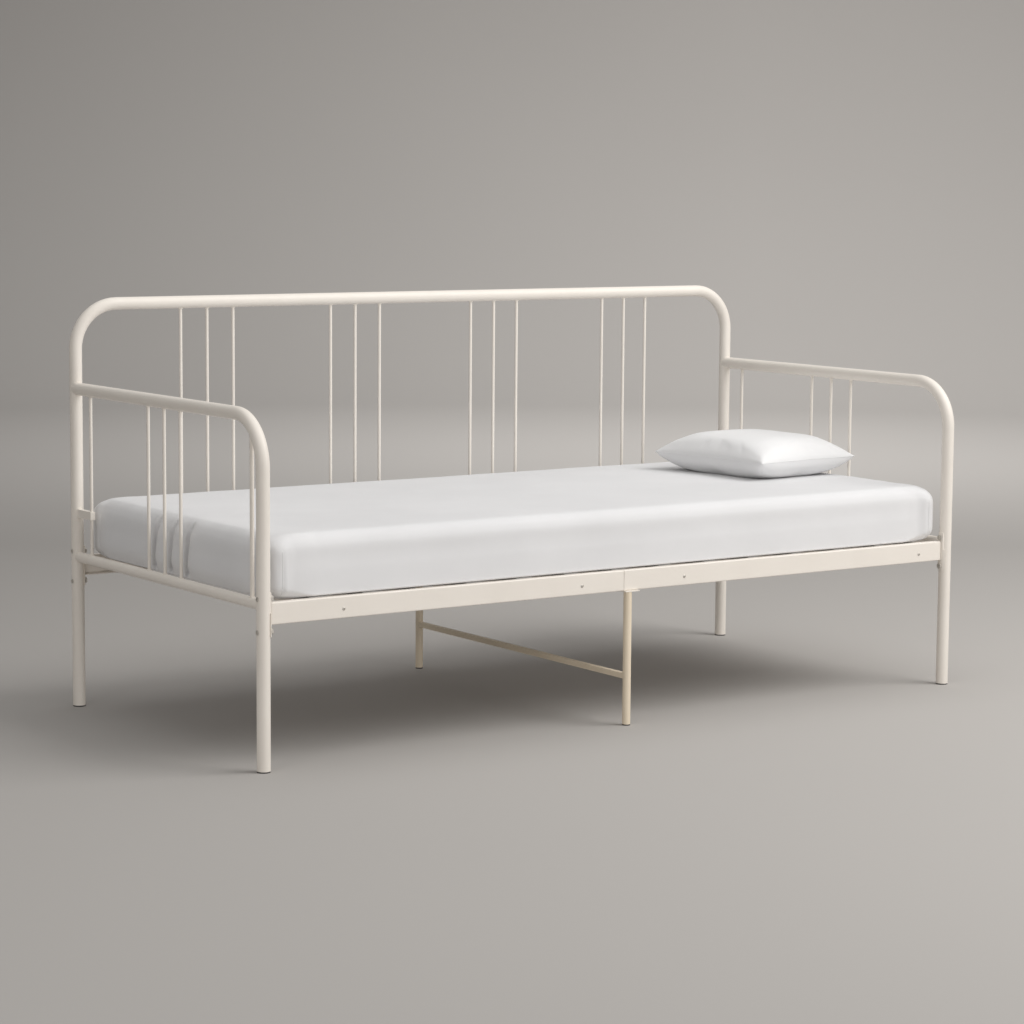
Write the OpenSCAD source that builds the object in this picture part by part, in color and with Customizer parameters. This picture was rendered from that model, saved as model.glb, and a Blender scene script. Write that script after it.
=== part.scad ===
// Metal daybed with a round-tube back and arms, a slatted base, a mattress and a small cushion.
// X runs along the bed, -Y is the open front and +Z is up. The origin lies on the floor,
// at the centre of the footprint. All sizes are in millimetres.

/* [Tube frame] */
// Distance between the left and right post axes
post_span = 2035; // [2035:1:2060]
// Distance between the front and rear post axes
post_depth = 925; // [923:1:940]
// Outside diameter of the posts, the back tube and the arm tubes
post_d = 31; // [30:0.5:32]
// Wall thickness of the main tubes
tube_wall = 1.5; // [1.2:0.1:1.8]
// Height of the back tube's axis
back_h = 995; // [900:5:1100]
// Bend radius of the back tube, on its axis
back_bend_r = 110; // [80:5:140]
// Height of the arm tubes' axis
arm_h = 789; // [750:1:850]
// Bend radius of the arm tubes, on their axis
arm_bend_r = 115; // [90:5:130]
// Height at which each lower leg meets the post above it
leg_joint_z = 350; // [345:1:355]

/* [Rails] */
// Underside of the side rails
rail_z = 328.5; // [327:0.5:330]
// Height of the side rails
rail_h = 50; // [48:0.5:50]
// Sheet thickness of the side rails
rail_t = 2; // [1.5:0.1:2]
// Width of the side rails' top and bottom flanges
rail_flange = 18; // [16:0.5:18.5]
// How far the rail's face stands in front of the post axes
rail_proud = 3.5; // [3:0.5:4]
// Where the two halves of each side rail meet, along X
rail_seam_x = -30; // [-31:0.5:-29]
// Diameter of the arms' lower rails
arm_rail_d = 25; // [22:0.5:26]
// Height of the arms' lower rails, on their axis
arm_rail_z = 374; // [374:1:376]
// Thickness of the flat bar under the back's rods
foot_bar_t = 4; // [3:0.5:5]
// Width of the short flat stubs between the rear posts and the arms' single rods
stub_w = 12; // [11.5:0.5:14]
// Height of a stub's section
stub_h = 20; // [14:1:22]
// Height of the stubs' centre above the floor
stub_z = 483; // [460:1:500]

/* [Rods] */
// Diameter of the upright rods
rod_d = 8; // [6:0.5:10]
// Distance between the centres of the back's rod groups
back_group_pitch = 436; // [400:2:450]
// Distance between neighbouring rods in a back group
back_rod_pitch = 74.5; // [60:0.5:80]
// Distance between neighbouring rods in an arm group
arm_rod_pitch = 80; // [60:1:90]
// Distance from the rear post axis to the arm's single rod
rear_rod_gap = 80; // [70:1:100]
// Diameter of the left arm's rod next to the front post
front_rod_d = 10; // [8:0.5:12]
// Distance from the left front post axis to that rod
front_rod_gap = 49; // [40:1:60]

/* [Corner joints] */
// Underside of the corner brackets
bracket_z = 303; // [302:1:304]
// Height of the corner brackets
bracket_h = 98; // [98:1:100]
// Sheet thickness of the corner brackets
bracket_t = 2.5; // [2:0.1:2.5]
// Height of the lower corner bolts
low_bolt_z = 314; // [313.5:0.5:315]
// Height of the upper corner bolts
high_bolt_z = 388; // [388:0.5:389]

/* [Slats] */
// Number of slats, an even number
slat_count = 14; // [10:2:14]
// Distance between slat centres
slat_pitch = 140; // [100:1:140]
// Width of a slat
slat_w = 40; // [30:1:44]
// Thickness of a slat
slat_t = 14; // [12:0.5:14]

/* [Middle support] */
// Place of the middle support along X
mid_x = -16; // [-17:0.5:-15]
// Diameter of the middle legs
mid_leg_d = 20; // [19.5:0.5:22]
// Height of the cross bar's centre
cross_bar_z = 120; // [60:1:200]
// Width and height of the cross bar
cross_bar_w = 13; // [12:1:18]

/* [Bedding] */
// Length of the mattress
mattress_l = 2003; // [1900:1:2003]
// Width of the mattress
mattress_w = 903; // [880:1:903]
// Thickness of the mattress
mattress_t = 143; // [100:1:180]
// Radius of the mattress's upright corners
mattress_corner_r = 45; // [40:1:80]
// Length of the cushion across the bed
cushion_l = 416; // [360:1:430]
// Width of the cushion along the bed
cushion_w = 355; // [300:1:360]
// Thickness of the cushion
cushion_t = 110; // [80:1:120]
// Place of the cushion's centre along X
cushion_x = 800; // [-800:1:800]
// Place of the cushion's centre along Y
cushion_y = 60; // [-150:1:150]
// Turn of the cushion about the upright axis
cushion_turn = 5.5; // [-6:0.5:6]

/* [Hidden] */
$fn = 64;

cream = [0.91, 0.88, 0.83];
shade_cream = [0.80, 0.74, 0.63];
steel = [0.72, 0.71, 0.69];
black = [0.10, 0.10, 0.10];
white = [0.93, 0.93, 0.94];

// Places of the four posts, as [side along X, side along Y]
corners = [[-1, -1], [1, -1], [-1, 1], [1, 1]];
post_x = post_span / 2;
post_y = post_depth / 2;
post_r = post_d / 2;
bore_r = post_r - tube_wall;
rod_r = rod_d / 2;
front_rod_r = front_rod_d / 2;
arm_rail_r = arm_rail_d / 2;
cut_over = 1;

// Diameters, lengths and clearances of the small pieces
slip = 0.1;
foot_h = 3;
foot_inset = 0.5;
foot_plug_h = 15;
sleeve_wall = 1.5;
sleeve_z = 303;
sleeve_h = 95;
small_wall = 1.2;
bolt_r = 4;
bolt_head_r = 6;
bolt_head_h = 2.4;
bolt_hole_r = 4.2;
nut_flat_r = 6.5;
nut_h = 4;
bolt_tip = 1;
rail_bolt_r = 2.5;
rail_bolt_head_r = 4.2;
rail_bolt_head_h = 2.2;
rail_bolt_hole_r = 2.7;
rail_nut_flat_r = 4;
rail_nut_h = 4;

// Hexagon socket of a bolt head, as shares of the head's height and radius
socket_floor = 0.15;
socket_share = 0.58;

// Arm fixing: a bolt inside the rear post holds a threaded plug in the arm tube's end
arm_end_back = 6;
plug_l = 30;
plug_lip = 4;
arm_bolt_r = 4;
arm_head_r = 6;
arm_head_h = 5;
arm_bolt_l = 28;
cover_r = 6.9;
cover_depth = 1.5;

// Side rails, from the face inwards: web, ledge, joiner
rail_face_y = post_y + rail_proud;
rail_top_z = rail_z + rail_h;
rail_end_gap = 1.5;
rail_end_x = post_x - post_r - bracket_t - rail_end_gap;
rail_edge_r = 3;
seam_gap = 1.2;
ledge_t = 2;
ledge_drop = 25;
ledge_reach = 39;
ledge_inset = 82.5;
ledge_end_x = post_x - ledge_inset;
ledge_top_z = rail_top_z - slat_t;
joiner_t = 3;
joiner_half = 190;
joiner_h = 24;
joiner_drop = 1.5;
joiner_z = ledge_top_z - ledge_t - joiner_drop - joiner_h;
rail_bolt_z = 350;
rail_bolt_xs = [-813, -154, 153, 922];
rail_hole_l = 14;
joiner_reach = 200;
tongue_l = 60;
tongue_t = 3;
tongue_h = 40;
tongue_x = -post_x + post_r + bracket_t / 2;

// Bar under the back's rods, bolted to the top flanges of the rear rails
foot_bar_w = 19;
foot_bar_front = 12.5;
foot_bar_half = 790;
bar_bolt_in = 6.5;
bar_bolt_xs = [-770, -436, -60, 60, 436, 770];
bar_bolt_l = foot_bar_t + rail_t + rail_nut_h + bolt_tip;
stub_past = 6;

// Corner brackets: a collar below the arm rail and a narrow strap beside it
collar_start = 11;
collar_h = 54;
strap_gap = 0.4;
strap_half = sqrt(post_r * post_r - pow(arm_rail_r + strap_gap, 2));

// Middle support
mid_leg_r = mid_leg_d / 2;
mid_plate_x = rail_seam_x + seam_gap / 2;
plate_reach = 28;
plate_lip = 0.5;
plate_back = 27.5;
plate_t = 2.5;
plate_bolt_dx = 20;
plate_bolt_in = 7.5;
plate_bolt_l = plate_t + rail_t + rail_nut_h + bolt_tip;

// Slats and bedding
slat_end_gap = 2;
slat_end_y = rail_face_y - rail_flange - slat_end_gap;
slat_cap_t = 3;
slat_plug_l = 15;
bed_gap = 0.5;
bed_z = rail_top_z + bed_gap;
cushion_z = bed_z + mattress_t + bed_gap;
cushion_rim_t = 24;
cushion_rim_r = 22;
cushion_crown = 0.62;
back_gap = 2;
back_clear_y = post_y - post_r - back_gap;

// Wall of each soft block round its sealed core, which gives the block the weight of soft filling
mattress_skin = 12;
cushion_skin = 6;

// ---------- helpers ----------

// Mirrors its children from the front left corner to the corner on the given sides
module at_corner(side) {
    mirror([side[0] > 0 ? 1 : 0, 0, 0])
        mirror([0, side[1] > 0 ? 1 : 0, 0])
            children();
}

// A cylinder along +X
module rod_x(r, h) {
    rotate([0, 90, 0]) cylinder(r = r, h = h);
}

// A cylinder along +Y
module rod_y(r, h) {
    rotate([-90, 0, 0]) cylinder(r = r, h = h);
}

// An upright tube
module upright_tube(r, wall, h) {
    difference() {
        cylinder(r = r, h = h);
        translate([0, 0, -cut_over]) cylinder(r = r - wall, h = h + 2 * cut_over);
    }
}

// A domed socket-head bolt: the head stands above z = 0 and the shank hangs below it
module dome_bolt(r, length, head_r, head_h) {
    dome_r = (head_r * head_r + head_h * head_h) / (2 * head_h);
    translate([0, 0, -length]) cylinder(r = r, h = length);
    difference() {
        intersection() {
            translate([0, 0, head_h - dome_r]) sphere(r = dome_r);
            cylinder(r = head_r + cut_over, h = head_h + cut_over);
        }
        translate([0, 0, head_h * socket_floor])
            cylinder(r = head_r * socket_share, h = head_h, $fn = 6);
    }
}

// A hexagon nut with its seat at z = 0
module hex_nut(flat_r, h, bore) {
    difference() {
        cylinder(r = flat_r / cos(30), h = h, $fn = 6);
        translate([0, 0, -cut_over]) cylinder(r = bore, h = h + 2 * cut_over);
    }
}

// The two bolt holes along X at one corner, at the heights in zs
module corner_holes(side, zs) {
    at_corner(side)
        for (z = zs)
            translate([-post_x - 2 * post_r, -post_y, z]) rod_x(bolt_hole_r, 4 * post_r);
}

// ---------- back ----------

// The back's U shape as a solid of radius r, with its open ends carried down by over
module back_path(r, over) {
    straight_z = back_h - back_bend_r;
    top_x = post_x - back_bend_r;
    for (flip = [0, 1])
        mirror([flip, 0, 0]) {
            translate([post_x, post_y, leg_joint_z - over])
                cylinder(r = r, h = straight_z - leg_joint_z + over);
            translate([top_x, post_y, straight_z])
                rotate([90, 0, 0])
                    rotate_extrude(angle = 90) translate([back_bend_r, 0]) circle(r = r);
        }
    translate([-top_x, post_y, back_h]) rod_x(r, 2 * top_x);
}

module back_frame() {
    color(cream)
        difference() {
            back_path(post_r, 0);
            back_path(bore_r, cut_over);
            for (side = [[-1, 1], [1, 1]]) {
                corner_holes(side, [high_bolt_z]);
                at_corner(side) arm_bolt_holes();
            }
        }
}

// Flat bar that the back's rods stand on, on top of the rear side rails
module back_foot_bar() {
    color(cream)
        difference() {
            translate([-foot_bar_half, post_y - foot_bar_front, rail_top_z])
                cube([2 * foot_bar_half, foot_bar_w, foot_bar_t]);
            bar_holes(1);
        }
}

// Holes down through the foot bar and the rail's top flange, on the given side along Y
module bar_holes(side) {
    for (x = bar_bolt_xs)
        translate([x, side * (post_y - bar_bolt_in), rail_top_z - rail_t - cut_over])
            cylinder(r = rail_bolt_hole_r, h = rail_t + foot_bar_t + 2 * cut_over);
}

module back_bar_bolts() {
    color(steel)
        for (x = bar_bolt_xs)
            translate([x, post_y - bar_bolt_in, rail_top_z + foot_bar_t])
                dome_bolt(rail_bolt_r, bar_bolt_l, rail_bolt_head_r, rail_bolt_head_h);
}

module back_bar_nuts() {
    color(steel)
        for (x = bar_bolt_xs)
            translate([x, post_y - bar_bolt_in, rail_top_z - rail_t - rail_nut_h])
                hex_nut(rail_nut_flat_r, rail_nut_h, rail_bolt_r + slip / 2);
}

// One group of three rods; place is the group's centre along X
module back_rod_group(place) {
    foot_z = rail_top_z + foot_bar_t;
    color(cream)
        difference() {
            for (i = [-1, 0, 1])
                translate([place + i * back_rod_pitch, post_y, foot_z])
                    cylinder(r = rod_r, h = back_h - foot_z, $fn = 32);
            translate([-post_x, post_y, back_h]) rod_x(post_r, post_span);
        }
}

// ---------- arms ----------

// An arm's inverted J as a solid of radius r on the left, from the leg joint to the rear post
module arm_path(r, over) {
    straight_z = arm_h - arm_bend_r;
    bend_y = -post_y + arm_bend_r;
    translate([-post_x, -post_y, leg_joint_z - over])
        cylinder(r = r, h = straight_z - leg_joint_z + over);
    translate([-post_x, bend_y, straight_z])
        rotate([90, 0, -90])
            rotate_extrude(angle = 90) translate([arm_bend_r, 0]) circle(r = r);
    translate([-post_x, bend_y, arm_h]) rod_y(r, post_y - bend_y - arm_end_back + over);
}

module arm_tube(side) {
    color(cream)
        difference() {
            at_corner([side, -1])
                difference() {
                    arm_path(post_r, 0);
                    arm_path(bore_r, cut_over);
                    translate([-post_x, post_y, arm_h - post_d]) cylinder(r = post_r, h = 2 * post_d);
                }
            corner_holes([side, -1], [high_bolt_z]);
        }
}

module arm_lower_rail(side) {
    color(cream)
        at_corner([side, -1])
            difference() {
                translate([-post_x, -post_y, arm_rail_z]) rod_y(arm_rail_r, post_depth);
                translate([-post_x, -post_y - cut_over, arm_rail_z])
                    rod_y(arm_rail_r - tube_wall, post_depth + 2 * cut_over);
                for (y = [-post_y, post_y])
                    translate([-post_x, y, arm_rail_z - post_d]) cylinder(r = post_r, h = 2 * post_d);
            }
}

module arm_rods(side) {
    color(cream)
        at_corner([side, -1])
            difference() {
                for (y = [-arm_rod_pitch, 0, arm_rod_pitch, post_y - rear_rod_gap])
                    translate([-post_x, y, arm_rail_z])
                        cylinder(r = rod_r, h = arm_h - arm_rail_z, $fn = 32);
                translate([-post_x, -post_y, arm_rail_z]) rod_y(arm_rail_r, post_depth);
                translate([-post_x, -post_y, arm_h]) rod_y(post_r, post_depth);
            }
}

// The left arm's rod next to the front post, which ends on the underside of the bend
module left_arm_front_rod() {
    reach = arm_bend_r - front_rod_gap;
    axis_z = arm_h - arm_bend_r + sqrt(arm_bend_r * arm_bend_r - reach * reach);
    color(cream)
        difference() {
            translate([-post_x, -post_y + front_rod_gap, arm_rail_z])
                cylinder(r = front_rod_r, h = axis_z - arm_rail_z, $fn = 32);
            translate([-post_x, -post_y, arm_rail_z]) rod_y(arm_rail_r, post_depth);
            arm_path(post_r, 0);
        }
}

// Short flat bars from the rear posts to just past the arms' single rods, which run down through them
module arm_stubs() {
    reach = rear_rod_gap + stub_past;
    color(cream)
        for (side = [-1, 1])
            at_corner([side, -1])
                difference() {
                    translate([-post_x - stub_w / 2, post_y - reach, stub_z - stub_h / 2])
                        cube([stub_w, reach, stub_h]);
                    translate([-post_x, post_y, stub_z - post_d]) cylinder(r = post_r, h = 2 * post_d);
                    translate([-post_x, post_y - rear_rod_gap, stub_z - post_d])
                        cylinder(r = rod_r, h = 2 * post_d, $fn = 32);
                }
}

// Threaded plugs pressed into the rear ends of the arm tubes
module arm_end_plugs() {
    color(steel)
        for (side = [-1, 1])
            at_corner([side, -1])
                difference() {
                    translate([-post_x, post_y - post_r - plug_l, arm_h])
                        rod_y(bore_r - slip, plug_l + plug_lip);
                    translate([-post_x, post_y, arm_h - post_d])
                        cylinder(r = post_r + slip, h = 2 * post_d);
                    translate([-post_x, post_y - post_d - plug_l, arm_h])
                        rod_y(arm_bolt_r + slip / 2, plug_l + post_d);
                }
}

// Holes for the arm bolt in the rear left post, mirrored to the front left for at_corner
module arm_bolt_holes() {
    translate([-post_x, -post_y, arm_h]) rod_y(arm_bolt_r + slip, 2 * post_r);
    translate([-post_x, -post_y - 2 * post_r, arm_h]) rod_y(cover_r + slip, 2 * post_r);
}

module arm_bolts() {
    head_y = post_y - sqrt(bore_r * bore_r - arm_head_r * arm_head_r) + slip;
    color(steel)
        for (side = [-1, 1])
            at_corner([side, -1])
                difference() {
                    union() {
                        translate([-post_x, head_y, arm_h]) rod_y(arm_head_r, arm_head_h);
                        translate([-post_x, head_y - arm_bolt_l, arm_h])
                            rod_y(arm_bolt_r, arm_bolt_l + cut_over);
                    }
                    translate([-post_x, head_y + arm_head_h / 2, arm_h])
                        rotate([-90, 0, 0]) cylinder(r = arm_head_r / 2, h = arm_head_h, $fn = 6);
                }
}

// Plastic covers, flush with the rear posts, over the holes through which the arm bolts go in
module arm_bolt_covers() {
    color(cream)
        for (side = [-1, 1])
            at_corner([side, -1])
                difference() {
                    intersection() {
                        translate([-post_x, post_y, arm_h]) rod_y(cover_r, post_d);
                        translate([-post_x, post_y, arm_h - post_d]) cylinder(r = post_r, h = 2 * post_d);
                    }
                    translate([-post_x, post_y, arm_h - post_d - cut_over])
                        cylinder(r = bore_r - cover_depth, h = 2 * (post_d + cut_over));
                }
}

// ---------- corners and legs ----------

module corner_leg(side) {
    color(cream)
        difference() {
            at_corner(side)
                translate([-post_x, -post_y, foot_h])
                    upright_tube(post_r, tube_wall, leg_joint_z - foot_h);
            corner_holes(side, [low_bolt_z]);
        }
}

// Inner sleeves that join each lower leg to the post above it
module leg_sleeves() {
    color(steel)
        for (side = corners)
            difference() {
                at_corner(side)
                    translate([-post_x, -post_y, sleeve_z])
                        upright_tube(bore_r - slip, sleeve_wall, sleeve_h);
                corner_holes(side, [low_bolt_z, high_bolt_z]);
            }
}

// A foot cap: a disc under the tube and a plug inside it
module foot_cap(r, bore) {
    cylinder(r = r - foot_inset, h = foot_h);
    translate([0, 0, foot_h]) cylinder(r = bore - slip, h = foot_plug_h);
}

module corner_foot_caps() {
    color(black)
        for (side = corners)
            at_corner(side)
                translate([-post_x, -post_y, 0]) foot_cap(post_r, bore_r);
}

// The sheet wrapped round the +X side of a post: a collar with a narrow strap above it
module collar_and_strap() {
    difference() {
        upright_tube(post_r + bracket_t, bracket_t, bracket_h);
        translate([collar_start - 2 * post_d, -post_d, -cut_over])
            cube([2 * post_d, 2 * post_d, bracket_h + 2 * cut_over]);
        for (flip = [0, 1])
            mirror([0, flip, 0])
                translate([-post_d, strap_half, collar_h]) cube([2 * post_d, post_d, bracket_h]);
    }
}

module corner_bracket(side) {
    color(cream)
        difference() {
            at_corner(side) {
                translate([-post_x, -post_y, bracket_z]) collar_and_strap();
                translate([tongue_x, -rail_face_y + rail_t, rail_z + (rail_h - tongue_h) / 2])
                    cube([tongue_l, tongue_t, tongue_h]);
            }
            corner_holes(side, [low_bolt_z, high_bolt_z]);
        }
}

module bracket_bolts() {
    bolt_l = 2 * post_r + bracket_t + nut_h + bolt_tip;
    color(steel)
        for (side = corners, z = [low_bolt_z, high_bolt_z])
            at_corner(side)
                translate([-post_x - post_r, -post_y, z])
                    rotate([0, -90, 0]) dome_bolt(bolt_r, bolt_l, bolt_head_r, bolt_head_h);
}

module bracket_nuts() {
    color(steel)
        for (side = corners, z = [low_bolt_z, high_bolt_z])
            at_corner(side)
                translate([-post_x + post_r + bracket_t, -post_y, z])
                    rotate([0, 90, 0]) hex_nut(nut_flat_r, nut_h, bolt_r + slip / 2);
}

// ---------- side rails ----------

// Runs its children on the front side, or mirrored on the rear side
module on_side(side) {
    mirror([0, side > 0 ? 1 : 0, 0]) children();
}

// Extrudes a (y, z) outline along X from x0 to x1
module along_x(x0, x1) {
    translate([x0, 0, 0]) rotate([90, 0, 90]) linear_extrude(height = x1 - x0) children();
}

// A rectangle with its two left corners rounded
module left_rounded(w, h, r) {
    translate([r, 0]) square([w - r, h]);
    translate([0, r]) square([r, h - 2 * r]);
    for (y = [r, h - r])
        translate([r, y]) circle(r = r);
}

// Section of a side rail: a channel whose back is the visible face
module rail_section() {
    translate([-rail_face_y, rail_z])
        difference() {
            left_rounded(rail_flange, rail_h, rail_edge_r);
            translate([rail_t, rail_t])
                left_rounded(rail_flange, rail_h - 2 * rail_t, rail_edge_r - rail_t);
        }
}

// Holes through a side rail's face for its bolts
module face_holes() {
    for (x = rail_bolt_xs)
        translate([x, -rail_face_y - cut_over, rail_bolt_z]) rod_y(rail_bolt_hole_r, rail_hole_l);
}

// Hole up through the middle plate and the right-hand rail's bottom flange
module plate_hole() {
    translate([mid_x + plate_bolt_dx, -post_y + plate_bolt_in, rail_z - plate_t - cut_over])
        cylinder(r = rail_bolt_hole_r, h = plate_t + rail_t + 2 * cut_over);
}

module side_rail(side, x0, x1) {
    color(cream)
        on_side(side)
            difference() {
                along_x(x0, x1) rail_section();
                face_holes();
                plate_hole();
                if (side > 0) bar_holes(-1);
            }
}

// Angle inside a side rail that carries the slat ends
module slat_ledge(side, x0, x1) {
    web_y = -rail_face_y + rail_t;
    color(cream)
        on_side(side)
            difference() {
                along_x(x0, x1)
                    polygon([
                        [web_y, ledge_top_z - ledge_drop],
                        [web_y + ledge_t, ledge_top_z - ledge_drop],
                        [web_y + ledge_t, ledge_top_z - ledge_t],
                        [web_y + ledge_reach, ledge_top_z - ledge_t],
                        [web_y + ledge_reach, ledge_top_z],
                        [web_y, ledge_top_z]
                    ]);
                face_holes();
            }
}

// Plate that joins the two halves of a side rail behind the ledge
module rail_joiner(side) {
    color(cream)
        on_side(side)
            difference() {
                translate([-joiner_half, -rail_face_y + rail_t + ledge_t, joiner_z])
                    cube([2 * joiner_half, joiner_t, joiner_h]);
                face_holes();
            }
}

// Depth behind the face at which the nut sits on the bolt at x
function nut_depth(x) = rail_t + ledge_t + (abs(x) < joiner_reach ? joiner_t : 0);

module rail_bolts() {
    color(steel)
        for (side = [-1, 1], x = rail_bolt_xs)
            on_side(side)
                translate([x, -rail_face_y, rail_bolt_z])
                    rotate([90, 0, 0])
                        dome_bolt(rail_bolt_r, nut_depth(x) + rail_nut_h + bolt_tip,
                                  rail_bolt_head_r, rail_bolt_head_h);
}

module rail_nuts() {
    color(steel)
        for (side = [-1, 1], x = rail_bolt_xs)
            on_side(side)
                translate([x, -rail_face_y + nut_depth(x), rail_bolt_z])
                    rotate([-90, 0, 0]) hex_nut(rail_nut_flat_r, rail_nut_h, rail_bolt_r + slip / 2);
}

// ---------- middle support ----------

module mid_leg(side) {
    color(shade_cream)
        translate([mid_x, side * post_y, foot_h])
            upright_tube(mid_leg_r, small_wall, rail_z - plate_t - foot_h);
}

module mid_cross_bar() {
    inner_w = cross_bar_w - 2 * small_wall;
    color(shade_cream)
        difference() {
            translate([mid_x - cross_bar_w / 2, -post_y, cross_bar_z - cross_bar_w / 2])
                cube([cross_bar_w, post_depth, cross_bar_w]);
            translate([mid_x - inner_w / 2, -post_y - cut_over, cross_bar_z - inner_w / 2])
                cube([inner_w, post_depth + 2 * cut_over, inner_w]);
            for (y = [-post_y, post_y])
                translate([mid_x, y, cross_bar_z - cross_bar_w])
                    cylinder(r = mid_leg_r, h = 2 * cross_bar_w);
        }
}

// Plate welded on a middle leg and bolted up to the right-hand rail, next to the seam
module mid_plate(side) {
    front = mid_leg_r + plate_lip;
    color(cream)
        on_side(side)
            difference() {
                translate([mid_plate_x, -post_y - front, rail_z - plate_t])
                    cube([mid_x + plate_reach - mid_plate_x, front + plate_back, plate_t]);
                plate_hole();
            }
}

module mid_plate_bolts() {
    color(steel)
        for (side = [-1, 1])
            on_side(side)
                translate([mid_x + plate_bolt_dx, -post_y + plate_bolt_in, rail_z - plate_t])
                    rotate([180, 0, 0])
                        dome_bolt(rail_bolt_r, plate_bolt_l, rail_bolt_head_r, rail_bolt_head_h);
}

module mid_plate_nuts() {
    color(steel)
        for (side = [-1, 1])
            on_side(side)
                translate([mid_x + plate_bolt_dx, -post_y + plate_bolt_in, rail_z + rail_t])
                    hex_nut(rail_nut_flat_r, rail_nut_h, rail_bolt_r + slip / 2);
}

module mid_foot_caps() {
    color(black)
        for (side = [-1, 1])
            translate([mid_x, side * post_y, 0]) foot_cap(mid_leg_r, mid_leg_r - small_wall);
}

// ---------- slats ----------

// Place of slat i along X
function slat_x(i) = (i - (slat_count - 1) / 2) * slat_pitch;

// The rectangular steel slats from number first to number last
module slats(first, last) {
    inner_w = slat_w - 2 * small_wall;
    inner_t = slat_t - 2 * small_wall;
    half_l = slat_end_y - slat_cap_t;
    color(cream)
        for (i = [first : last])
            translate([slat_x(i), 0, ledge_top_z + slat_t / 2])
                difference() {
                    cube([slat_w, 2 * half_l, slat_t], center = true);
                    cube([inner_w, 2 * (half_l + cut_over), inner_t], center = true);
                }
}

// The plastic caps in the slats' ends on one side
module slat_caps(side) {
    plug_w = slat_w - 2 * small_wall - 2 * slip;
    plug_t = slat_t - 2 * small_wall - 2 * slip;
    color(black)
        on_side(side)
            for (i = [0 : slat_count - 1])
                translate([slat_x(i), -slat_end_y, ledge_top_z + slat_t / 2]) {
                    translate([-slat_w / 2, 0, -slat_t / 2]) cube([slat_w, slat_cap_t, slat_t]);
                    translate([-plug_w / 2, slat_cap_t, -plug_t / 2]) cube([plug_w, slat_plug_l, plug_t]);
                }
}

// ---------- bedding ----------

// The mattress block with its skin taken off by inset, centred on z = 0
module mattress_block(inset) {
    l = mattress_l - 2 * inset;
    w = mattress_w - 2 * inset;
    h = mattress_t - 2 * inset;
    r = mattress_corner_r - inset;
    for (size = [[l, w - 2 * r], [l - 2 * r, w]])
        translate([-size[0] / 2, -size[1] / 2, -h / 2]) cube([size[0], size[1], h]);
    for (x = [-1, 1], y = [-1, 1])
        translate([x * (l / 2 - r), y * (w / 2 - r), -h / 2]) cylinder(r = r, h = h);
}

module mattress() {
    color(white)
        translate([0, back_clear_y - mattress_w / 2, bed_z + mattress_t / 2])
            difference() {
                mattress_block(0);
                mattress_block(mattress_skin);
            }
}

// A slab with rounded upright corners, centred on z = 0
module round_slab(l, w, h, r) {
    hull()
        for (x = [-1, 1], y = [-1, 1])
            translate([x * (l / 2 - r), y * (w / 2 - r), -h / 2]) cylinder(r = r, h = h, $fn = 24);
}

// The cushion's lens shape with its skin taken off by inset, centred on z = 0
module cushion_block(inset) {
    l = cushion_w - 4 * inset;
    w = cushion_l - 4 * inset;
    hull() {
        round_slab(l, w, cushion_rim_t - 2 * inset, cushion_rim_r);
        round_slab(l * cushion_crown, w * cushion_crown, cushion_t - 2 * inset, 2 * cushion_rim_r);
    }
}

module cushion() {
    color(white)
        translate([cushion_x, cushion_y, cushion_z + cushion_t / 2])
            rotate([0, 0, cushion_turn])
                difference() {
                    cushion_block(0);
                    cushion_block(cushion_skin);
                }
}

// ---------- nodes ----------

back_frame();
back_foot_bar();
back_bar_bolts();
back_bar_nuts();
back_rod_group(-1.5 * back_group_pitch);  // back_rods_far_left
back_rod_group(-0.5 * back_group_pitch);  // back_rods_mid_left
back_rod_group(0.5 * back_group_pitch);  // back_rods_mid_right
back_rod_group(1.5 * back_group_pitch);  // back_rods_far_right
arm_tube(-1);  // left_arm_tube
arm_tube(1);  // right_arm_tube
arm_lower_rail(-1);  // left_arm_lower_rail
arm_lower_rail(1);  // right_arm_lower_rail
arm_rods(-1);  // left_arm_rods
arm_rods(1);  // right_arm_rods
left_arm_front_rod();
arm_stubs();
arm_end_plugs();
arm_bolts();
arm_bolt_covers();
corner_leg([-1, -1]);  // front_left_leg
corner_leg([1, -1]);  // front_right_leg
corner_leg([-1, 1]);  // rear_left_leg
corner_leg([1, 1]);  // rear_right_leg
leg_sleeves();
corner_foot_caps();
corner_bracket([-1, -1]);  // front_left_bracket
corner_bracket([1, -1]);  // front_right_bracket
corner_bracket([-1, 1]);  // rear_left_bracket
corner_bracket([1, 1]);  // rear_right_bracket
bracket_bolts();
bracket_nuts();
side_rail(-1, -rail_end_x, rail_seam_x - seam_gap / 2);  // front_left_rail
side_rail(-1, rail_seam_x + seam_gap / 2, rail_end_x);  // front_right_rail
side_rail(1, -rail_end_x, rail_seam_x - seam_gap / 2);  // rear_left_rail
side_rail(1, rail_seam_x + seam_gap / 2, rail_end_x);  // rear_right_rail
slat_ledge(-1, -ledge_end_x, rail_seam_x - seam_gap / 2);  // front_left_ledge
slat_ledge(-1, rail_seam_x + seam_gap / 2, ledge_end_x);  // front_right_ledge
slat_ledge(1, -ledge_end_x, rail_seam_x - seam_gap / 2);  // rear_left_ledge
slat_ledge(1, rail_seam_x + seam_gap / 2, ledge_end_x);  // rear_right_ledge
rail_joiner(-1);  // front_joiner
rail_joiner(1);  // rear_joiner
rail_bolts();
rail_nuts();
mid_leg(-1);  // mid_front_leg
mid_leg(1);  // mid_rear_leg
mid_cross_bar();
mid_plate(-1);  // mid_front_plate
mid_plate(1);  // mid_rear_plate
mid_plate_bolts();
mid_plate_nuts();
mid_foot_caps();
slats(0, slat_count / 2 - 1);  // slats_left
slats(slat_count / 2, slat_count - 1);  // slats_right
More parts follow.
